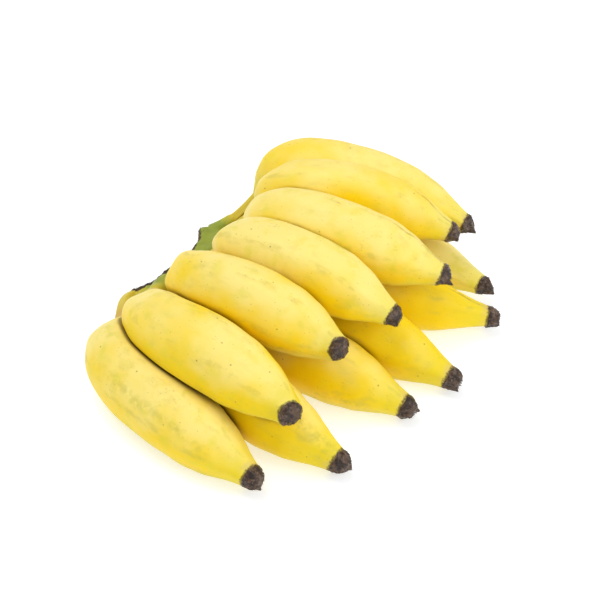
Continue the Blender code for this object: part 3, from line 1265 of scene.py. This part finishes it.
    def press(self, mesh: bpy.types.Mesh, crescent: Crescent, others: list["Fruit"]) -> None:
        """Flatten the skin where it meets the other fruit and the table.

        Along a ray from the middle line, the own skin is as near as the other fruit's where the
        distance solves a linear equation for each of the other's spheres.

        Args:
            mesh: The skin.
            crescent: The crown's arc.
            others: The other fruit.
        """
        points = read_points(mesh)
        centre = read_attribute(mesh, "centre")
        radius = read_attribute(mesh, "thickness")
        outward = points - centre
        far = np.linalg.norm(outward, axis=1)
        outward /= np.maximum(far, 0.001 * MM)[:, None]
        pressed = far.copy()
        for other in others:
            line = other.rings(crescent, self.NEIGHBOUR_STEP)
            spine, radii = line["centre"], line["thickness"]
            apart = (centre**2).sum(axis=1)[:, None] + (spine**2).sum(axis=1)[None]
            apart -= 2 * centre @ spine.T
            closing = (centre * outward).sum(axis=1)[:, None] - outward @ spine.T
            k = radii[None, :] - radius[:, None] + self.GAP
            toward = k - closing
            limit = (apart - k**2) / (2 * np.where(toward > 0, toward, 1.0))
            limit = np.where(toward > 0, limit, np.inf).min(axis=1)
            pressed = smooth_min(pressed, np.minimum(limit, 2 * far), self.BLEND)
        # How far the skin is pressed in by the other fruit, kept as the mask of the painted crease
        # shade.
        store_attribute(mesh, "contact_shade", smoothstep(far - pressed, *self.SHADED_PRESS))
        floor = centre[:, 2] / np.maximum(-outward[:, 2], 1e-6)
        on_table = smooth_min(pressed, floor, self.FLOOR_BLEND)
        pressed = np.where(floor < 2 * far, on_table, pressed)
        points = centre + outward * pressed[:, None]
        points[:, 2] = np.maximum(points[:, 2], 0.0)
        write_points(mesh, points)


@dataclass
class BlossomEnd:
    """The dried remains of the flower at a fruit's tip."""

    fruit: Fruit

    # The radius as a share of the fruit's tip, by the distance from the fruit on a long one.
    PROFILE = (
        (0.0 * MM, 0.96),
        (0.9 * MM, 1.02),
        (2.6 * MM, 0.97),
        (4.6 * MM, 0.84),
        (5.7 * MM, 0.68),
        (6.2 * MM, 0.46),
        (6.35 * MM, 0.20),
        (6.4 * MM, 0.05),
    )
    ROOT = ((-0.8 * MM, 0.78), (-0.3 * MM, 0.93))
    STEP = 0.18 * MM
    END_RINGS = 9
    SIDES = 80
    RIBS = 7.0
    # How deep the hollows between the ribs are, by the distance from the fruit on a long one.
    FACETS = ((0.0 * MM, 0.03), (1.5 * MM, 0.10), (6.0 * MM, 0.24))
    SHARPNESS = 1.1
    LUMP_SIZE = 3.0 * MM
    LUMP_HEIGHT = 1.1 * MM
    # How far the end leans aside and how far aside its stub is, as shares of its radius.
    LEAN = 0.10
    NUB_ASIDE = 0.55
    NUB_WIDTH = 1.5 * MM
    NUB_FOOT = (-3.0 * MM, -0.5 * MM)
    FIBROUS_FROM = (0.4 * MM, 1.4 * MM)
    FIBRE_LIFT = 0.03
    FIBRE_LENGTH = 1.5 * MM
    FIBRE_WIDTH = 0.16 * MM
    FIBRE_SPACING = 0.8 * MM

    @property
    def name(self) -> str:
        """The piece's name."""
        return f"{self.fruit.row.value}_dried_flower_{self.fruit.number}"

    @property
    def node(self) -> str:
        """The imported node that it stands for."""
        return f"{self.fruit.row.value}_blossom_{self.fruit.number}"

    def build(
        self, crescent: Crescent, tube: GrownTube, fibres: Fibres, dried: bpy.types.Material
    ) -> bpy.types.Object:
        """Make the dried end.

        Args:
            crescent: The crown's arc.
            tube: The tree that makes its skin.
            fibres: The tree that scatters fibres over it.
            dried: Its material.

        Returns:
            The piece.
        """
        body = self.fruit.rings(crescent, self.fruit.RING_STEP)
        tip = body["centre"][-1]
        heading = directions(body["centre"])[-1]
        random = np.random.default_rng(self.fruit.seed)
        across = np.cross(heading, (0.0, 0.0, 1.0))
        across /= np.linalg.norm(across)
        aside = across * random.uniform(-1, 1) - np.cross(across, heading) * random.uniform(0.2, 1)

        length = self.fruit.flower
        end = self.PROFILE[-1][0]
        slimmer = tuple(
            (at * length, share * (1 - self.fruit.taper * (at / end) ** 1.2))
            for at, share in self.PROFILE
        )
        profile = self.ROOT + slimmer
        end *= length
        out = np.linspace(profile[0][0], end, math.ceil((end - profile[0][0]) / self.STEP))
        out = np.concatenate((out[:-3], np.linspace(out[-3], end, self.END_RINGS)))
        lean = self.LEAN * smoothstep(out, 0.0, end) * body["thickness"][-1]
        centre = tip + np.outer(out, heading) + np.outer(lean, aside)
        rings = {
            "centre": centre,
            "thickness": smooth_table(profile, out) * body["thickness"][-1],
            "facet": np.interp(out / length, *np.array(self.FACETS).T),
        }
        obj = new_object(self.name, line_mesh(self.name, centre, rings))
        seed = int(random.integers(1, 1000))
        tube.run(
            obj,
            Sides=self.SIDES,
            Ridges=self.RIBS,
            Roll=float(random.uniform(0, 6)),
            Sharpness=self.SHARPNESS,
            Lump_Size=self.LUMP_SIZE,
            Lump_Height=self.LUMP_HEIGHT,
            Seed=float(seed),
            Material=dried,
        )
        nub = centre[-1] + aside * body["thickness"][-1] * self.NUB_ASIDE
        self.raise_nub(obj.data, nub, heading)
        from_tip = (read_points(obj.data) - tip) @ heading
        store_attribute(obj.data, "fibrous", smoothstep(from_tip, *self.FIBROUS_FROM))
        fibres.run(
            obj,
            Along=tuple(heading.tolist()),
            Lift=self.FIBRE_LIFT,
            Length=self.FIBRE_LENGTH,
            Width=self.FIBRE_WIDTH,
            Spacing=self.FIBRE_SPACING,
            Seed=seed,
            Material=dried,
        )
        return obj

    def raise_nub(self, mesh: bpy.types.Mesh, place: np.ndarray, heading: np.ndarray) -> None:
        """Draw the end out into the stub of the old style.

        Args:
            mesh: The dried end.
            place: The middle of the stub.
            heading: The way it points.
        """
        points = read_points(mesh)
        away = points - place
        beside = away - np.outer(away @ heading, heading)
        near = np.exp(-((np.linalg.norm(beside, axis=1) / self.NUB_WIDTH) ** 2))
        near *= smoothstep(away @ heading, *self.NUB_FOOT)
        write_points(mesh, points + np.outer(near * self.fruit.style, heading))


@dataclass
class Crown:
    """The crescent of tissue that all the stalks grow from, with its dried cut face."""

    crescent: Crescent
    fruits: tuple[Fruit, ...]
    voxel: float = 0.55 * MM
    # The sleeve around each stalk: its length, how much its foot swells, how far it stands
    # out from the stalk, and how deep its end dives under the fruit's skin and from where.
    sleeve: float = 15.0 * MM
    flare: float = 0.30
    proud: float = 0.15 * MM
    sunk: float = 0.9 * MM
    sinks_from: float = 0.72

    ARC_STEPS = 90
    AROUND = 48
    SLEEVE_SIDES = 32
    SLEEVE_STEP = 0.8 * MM
    # How square the slab's outline is: its thickness and its depth, in front and at the cut.
    FRONT_POWERS = (0.7, 0.55)
    CUT_POWERS = (0.25, 0.3)
    OVERHANG = 0.4 * MM
    # How full the crown is, by the angle along it: it runs out slim along the first stalk.
    FULLNESS = (
        (-39.0, 0.05),
        (-38.2, 0.40),
        (-36.0, 0.62),
        (-31.0, 0.70),
        (-25.0, 0.76),
        (-20.0, 0.92),
        (-15.0, 1.00),
        (22.0, 1.00),
        (25.0, 0.96),
        (26.8, 0.84),
        (27.6, 0.55),
        (27.9, 0.20),
    )
    HEEL = 3.0 * MM
    # The least fullness that the cut face is reckoned with.
    LEAST_FULL = 0.6
    # The cut face: how torn its edge is, how much deeper it goes at the first finger's end,
    # where across it ends, and the angles where it fades out.
    TEAR_SIZE = 2.2 * MM
    TEAR = 0.9 * MM
    DEEPER = 1.2 * MM
    CUT_EDGE = (2.0 * MM, 0.7 * MM)
    CUT_ENDS = (-40.0, -37.0)
    # Each scar's angle, height and size.
    SCARS = ((-24.0, 20.0 * MM, 1.6 * MM),)
    SCAR_OUT = 5 * MM

    def heel(self, angle: Any) -> Any:
        """How far the cut stands out behind at this angle or at each of these."""
        return np.clip(angle / self.crescent.half_angle, 0.0, 1.0) ** 3 * self.HEEL

    def slab(self, work: bmesh.types.BMesh) -> None:
        """The crescent itself: round at the front and flat where it was cut."""
        first, last = self.FULLNESS[0][0], self.FULLNESS[-1][0]
        angles = np.linspace(first, last, self.ARC_STEPS)
        rings = []
        for angle, size in zip(angles, smooth_table(self.FULLNESS, angles)):
            ring = []
            for turn in np.linspace(0.0, 2 * math.pi, self.AROUND, endpoint=False):
                out, up = math.cos(turn), math.sin(turn)
                across, tall = self.FRONT_POWERS if out > 0 else self.CUT_POWERS
                deep = self.crescent.thickness / 2 + (self.heel(angle) if out < 0 else 0.0)
                radial = math.copysign(abs(out) ** across, out) * deep
                lift = math.copysign(abs(up) ** tall, up)
                lift *= self.crescent.depth / 2 + self.OVERHANG
                ring.append(
                    self.crescent.point(
                        angle,
                        self.crescent.radius + radial * size,
                        self.crescent.height + lift * size,
                    )
                )
            rings.append(ring)
        add_rings(work, np.array(rings)[::-1])

    def sleeves(self, work: bmesh.types.BMesh) -> None:
        """The flared start of each stalk, which dives under the fruit's own skin."""
        for fruit in self.fruits:
            line = fruit.rings(self.crescent, self.SLEEVE_STEP)
            at = lengths_along(line["centre"])
            keep = at <= self.sleeve
            centre, radius, at = line["centre"][keep], line["thickness"][keep], at[keep]
            swell = 1.0 + self.flare * (1.0 - at / self.sleeve) ** 1.6
            sunk = self.sunk * smoothstep(at, self.sleeve * self.sinks_from, self.sleeve)
            radius = radius * swell + self.proud - sunk
            heading = directions(centre)
            across = np.cross(heading, (0.0, 0.0, 1.0))
            across /= np.linalg.norm(across, axis=1)[:, None]
            up = np.cross(across, heading)
            turns = np.linspace(0.0, 2 * math.pi, self.SLEEVE_SIDES, endpoint=False)
            outward = np.cos(turns)[None, :, None] * across[:, None, :]
            outward = outward + np.sin(turns)[None, :, None] * up[:, None, :]
            add_rings(work, centre[:, None, :] + outward * radius[:, None, None])

    def build(self, fibres: Fibres, tissue: bpy.types.Material) -> bpy.types.Object:
        """Make the crown.

        Args:
            fibres: The tree that scatters fibres on the cut.
            tissue: Its material.

        Returns:
            The piece.
        """
        mesh = bpy.data.meshes.new("stalk_crown")
        work = bmesh.new()
        self.slab(work)
        self.sleeves(work)
        bmesh.ops.recalc_face_normals(work, faces=work.faces)
        work.to_mesh(mesh)
        work.free()
        obj = new_object("stalk_crown", mesh)
        union = obj.modifiers.new("union", "REMESH")
        union.mode = "VOXEL"
        union.voxel_size = self.voxel
        union.use_smooth_shade = True
        ease = obj.modifiers.new("ease", "SMOOTH")
        ease.factor = 0.5
        ease.iterations = 4
        bake(obj)
        self.weather(obj.data)
        return fibres.run(
            obj,
            Along=(0.0, 0.0, 1.0),
            Lift=0.05,
            Length=2.4 * MM,
            Width=0.14 * MM,
            Spacing=1.1 * MM,
            Seed=5,
            Material=tissue,
        )

    def weather(self, mesh: bpy.types.Mesh) -> None:
        """Roughen the tissue, hollow and tear the cut, and keep what the material reads."""
        points = read_points(mesh)
        angle, out = self.crescent.polar(points)
        ends = self.FULLNESS[0][0], self.FULLNESS[-1][0]
        full = np.maximum(smooth_table(self.FULLNESS, np.clip(angle, *ends)), self.LEAST_FULL)
        back = self.crescent.radius - (self.crescent.thickness / 2 + self.heel(angle)) * full
        torn = rough(points, self.TEAR_SIZE, 1.0) * self.TEAR
        deep = smoothstep(angle, 10.0, -10.0) * self.DEEPER
        cut = smoothstep(out - back + torn - deep, *self.CUT_EDGE)
        cut *= smoothstep(angle, *self.CUT_ENDS)
        normal = np.empty(len(points) * 3)
        mesh.vertices.foreach_get("normal", normal)
        normal = normal.reshape(-1, 3)
        grown = rough(points, 5.0 * MM, 2.0) * 0.35 * MM + rough(points, 1.5 * MM, 3.0) * 0.10 * MM
        ragged = rough(points, 1.3 * MM, 4.0) * 0.32 * MM - 0.10 * MM
        points = points + normal * (grown + cut * ragged)[:, None]
        scar = np.zeros(len(points))
        for at, height, size in self.SCARS:
            spot = self.crescent.point(at, self.crescent.radius + self.SCAR_OUT, height)
            scar = np.maximum(scar, np.exp(-(np.linalg.norm(points - spot, axis=1) / size) ** 2))
        write_points(mesh, points)
        store_attribute(mesh, "cut", cut)
        store_attribute(mesh, "scar", scar)
        beside = np.abs(points[:, 2] - self.crescent.height) / (self.crescent.depth / 2 * full)
        store_attribute(mesh, "rim", smoothstep(beside + torn / (3 * MM), 0.70, 1.0))
        store_attribute(mesh, "fibrous", smoothstep(cut, 0.5, 0.9))
        store_attribute(mesh, "reach", self.crescent.reach(points))
        radial = out - self.crescent.radius
        arc = np.radians(angle) * self.crescent.radius
        store_attribute(mesh, "straight", np.stack((arc, points[:, 2], radial), axis=1))


FRUITS = (
    Fruit(Row.LOWER, 1, 35, (-95, 55, 17), (-84, 77, 16.5), (-64, 103, 16), (-47, 141, 9),
          (-111, 38, 15), roll=20, ripeness=0.35,
          marks=(Mark(0.55, 50, 60 * MM, 5 * MM, green=True),)),
    Fruit(Row.LOWER, 2, 35, (-77, 33, 14.5), (-55, 65, 15.5), (-39, 112, 15.5), (-31, 144, 8),
          roll=47, ripeness=1.05,
          marks=(Mark(0.84, 18, 46 * MM, 7 * MM, green=True),)),
    Fruit(Row.LOWER, 3, 34.5, (-58, 16, 14), (-32, 45, 15), (-18, 96, 15), (-12, 135, 8),
          roll=5, ripeness=0.8,
          marks=(Mark(0.80, 100, 30 * MM, 5 * MM, green=True),)),
    Fruit(Row.LOWER, 4, 35, (27, 9, 14), (3, 42, 15.5), (0, 98, 15.5), (0, 141, 8),
          roll=32, ripeness=1.1),
    Fruit(Row.LOWER, 5, 31, (83, 22, 14), (38, 47, 14), (18, 103, 14), (19, 145, 9),
          roll=60, ripeness=1.0, taper=0.1, style=0.8 * MM,
          marks=(Mark(0.93, -14, 20 * MM, 1.3 * MM),)),
    Fruit(Row.LOWER, 6, 30, (93, 36, 14), (66, 62, 13.5), (40, 105, 13.5), (28, 141, 10),
          roll=15, ripeness=0.1, taper=0.5),
    Fruit(Row.UPPER, 1, 35, (-87, 46, 25), (-71, 66, 33), (-51, 97, 42), (-39, 131, 36),
          hook=(-38.7, 136, 36.7), roll=40, ripeness=0.6, flower=0.42, taper=0.0,
          style=0.4 * MM),
    Fruit(Row.UPPER, 2, 34, (-68, 25, 30), (-50, 46, 42), (-33, 77, 49), (-22.5, 110, 42),
          hook=(-22.3, 115, 43), roll=10, ripeness=0.5, flower=0.42, taper=0.0,
          style=0.4 * MM, marks=(Mark(0.76, 108, 40 * MM, 5 * MM, green=True),)),
    Fruit(Row.UPPER, 3, 34, (-6, 17, 32), (-9, 35, 44), (-8, 75, 50), (-5, 115, 42),
          roll=55, ripeness=0.3, flower=0.8, taper=0.4),
    Fruit(Row.UPPER, 4, 34, (43, 26, 32), (28, 42, 46), (15, 81, 50), (14, 123, 40),
          roll=25, ripeness=0.35, flower=0.8, taper=0.45, style=4.0 * MM,
          marks=(Mark(0.88, -12, 38 * MM, 1.3 * MM),)),
    Fruit(Row.UPPER, 5, 32, (70, 41, 30), (55, 51, 46), (39, 84, 48), (32, 124, 36),
          roll=66, ripeness=0.65, flower=0.9, taper=0.5, style=2.4 * MM,
          marks=(Mark(0.90, -12, 28 * MM, 1.2 * MM),)),
    Fruit(Row.UPPER, 6, 32, (85, 52, 26), (79, 66, 37), (57, 92, 40), (39.6, 134.5, 27),
          roll=36, ripeness=0.75, flower=0.9, taper=0.55, style=2.2 * MM),
)


@dataclass
class BananaHand:
    """The whole hand: crown, twelve fruit and their dried ends."""

    fruits: tuple[Fruit, ...] = FRUITS

    def place(self, piece: bpy.types.Object, node: str, slot: Slot) -> None:
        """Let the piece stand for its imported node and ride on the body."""
        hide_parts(node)
        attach(piece, BODY)
        log.info("%s: %d faces", piece.name, len(piece.data.polygons))

    def build(self) -> None:
        """Build every piece in turn."""
        crescent = Crescent.from_frame()
        tube = GrownTube()
        fibres = Fibres()
        peel = PeelFinish().make()
        tissue = CrownFinish().make()
        dried = BlossomFinish().make()
        self.place(Crown(crescent, self.fruits).build(fibres, tissue), "crown", Slot.CROWN)
        for fruit in self.fruits:
            others = [other for other in self.fruits if other is not fruit]
            self.place(fruit.build(crescent, others, tube, peel), fruit.node, Slot.PEEL)
            end = BlossomEnd(fruit)
            self.place(end.build(crescent, tube, fibres, dried), end.node, Slot.BLOSSOM)


# ---------------------------------------------------------------------------- the studio


@dataclass(frozen=True)
class Lamp:
    """A large soft round lamp that shines at the hand."""

    name: str
    place: tuple[float, float, float]
    size: float
    power: float
    target: tuple[float, float, float] = (0.0, 0.0, 0.03)

    def hang(self) -> None:
        """Put the lamp in the scene."""
        lamp = bpy.data.lights.new(self.name, "AREA")
        lamp.shape = "DISK"
        lamp.size = self.size
        lamp.energy = self.power
        obj = bpy.data.objects.new(self.name, lamp)
        obj.location = self.place
        aim = Vector(self.target) - Vector(self.place)
        obj.rotation_euler = aim.to_track_quat("-Z", "Y").to_euler()
        bpy.context.scene.collection.objects.link(obj)


@dataclass
class Studio:
    """A plain pale floor under a white sky, a key lamp at the left and a fill lamp at the right."""

    floor_size: float = 6.0
    floor_dark: Colour = (0.70, 0.73, 0.77, 1.0)
    floor_light: Colour = (0.73, 0.76, 0.80, 1.0)
    grain: float = 40 * MM
    floor_glow: float = 0.50
    sky: float = 0.58
    lamps: tuple[Lamp, ...] = (
        Lamp("key", (-0.55, 0.0, 1.25), 0.8, 7.6),
        Lamp("fill", (1.15, 0.0, 0.70), 1.0, 7.0),
    )

    def floor(self) -> None:
        """The floor that the hand lies on."""
        mesh = bpy.data.meshes.new("floor")
        half = self.floor_size / 2
        corners = [(-half, -half, 0), (half, -half, 0), (half, half, 0), (-half, half, 0)]
        mesh.from_pydata(corners, [], [(0, 1, 2, 3)])
        obj = new_object("floor", mesh)
        w = SurfaceWiring("pale_floor")
        place = w.node("ShaderNodeTexCoord").outputs["Object"]
        colour = w.mix(w.noise(place, self.grain, 2.0), self.floor_dark, self.floor_light)
        mesh.materials.append(
            w.finish(
                Base_Color=colour,
                Roughness=0.9,
                Specular_IOR_Level=0.1,
                Emission_Color=(1.0, 1.0, 1.0, 1.0),
                Emission_Strength=self.floor_glow,
            )
        )

    def light(self) -> None:
        """An even white sky and the lamps."""
        world = bpy.data.worlds.new("studio")
        world.use_nodes = True
        background = world.node_tree.nodes["Background"]
        background.inputs["Color"].default_value = (1.0, 1.0, 1.0, 1.0)
        background.inputs["Strength"].default_value = self.sky
        bpy.context.scene.world = world
        bpy.context.scene.view_settings.view_transform = "Standard"
        for lamp in self.lamps:
            lamp.hang()


@dataclass
class Viewpoint:
    """The camera, by where it looks and from which side."""

    aim: tuple[float, float, float] = (-6 * MM, 8.4 * MM, 20 * MM)
    azimuth: float = 31.0
    elevation: float = 40.0
    distance: float = 0.9
    lens: float = 112.5
    sensor: float = 36.0

    def place(self) -> None:
        """Put the camera in the scene."""
        camera = bpy.data.cameras.new("camera")
        camera.lens = self.lens
        camera.sensor_width = self.sensor
        obj = bpy.data.objects.new("camera", camera)
        turn, lift = math.radians(self.azimuth), math.radians(self.elevation)
        back = Vector(
            (math.sin(turn) * math.cos(lift), -math.cos(turn) * math.cos(lift), math.sin(lift))
        )
        obj.location = Vector(self.aim) + back * self.distance
        obj.rotation_euler = back.to_track_quat("Z", "Y").to_euler()
        bpy.context.scene.collection.objects.link(obj)
        bpy.context.scene.camera = obj


def main() -> None:
    """Load the frame and build the hand, the studio and the camera around it."""
    logging.basicConfig(level=logging.INFO, format="%(name)s: %(message)s")
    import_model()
    Viewpoint().place()
    studio = Studio()
    studio.floor()
    studio.light()
    BananaHand().build()


if __name__ == "__main__":
    main()
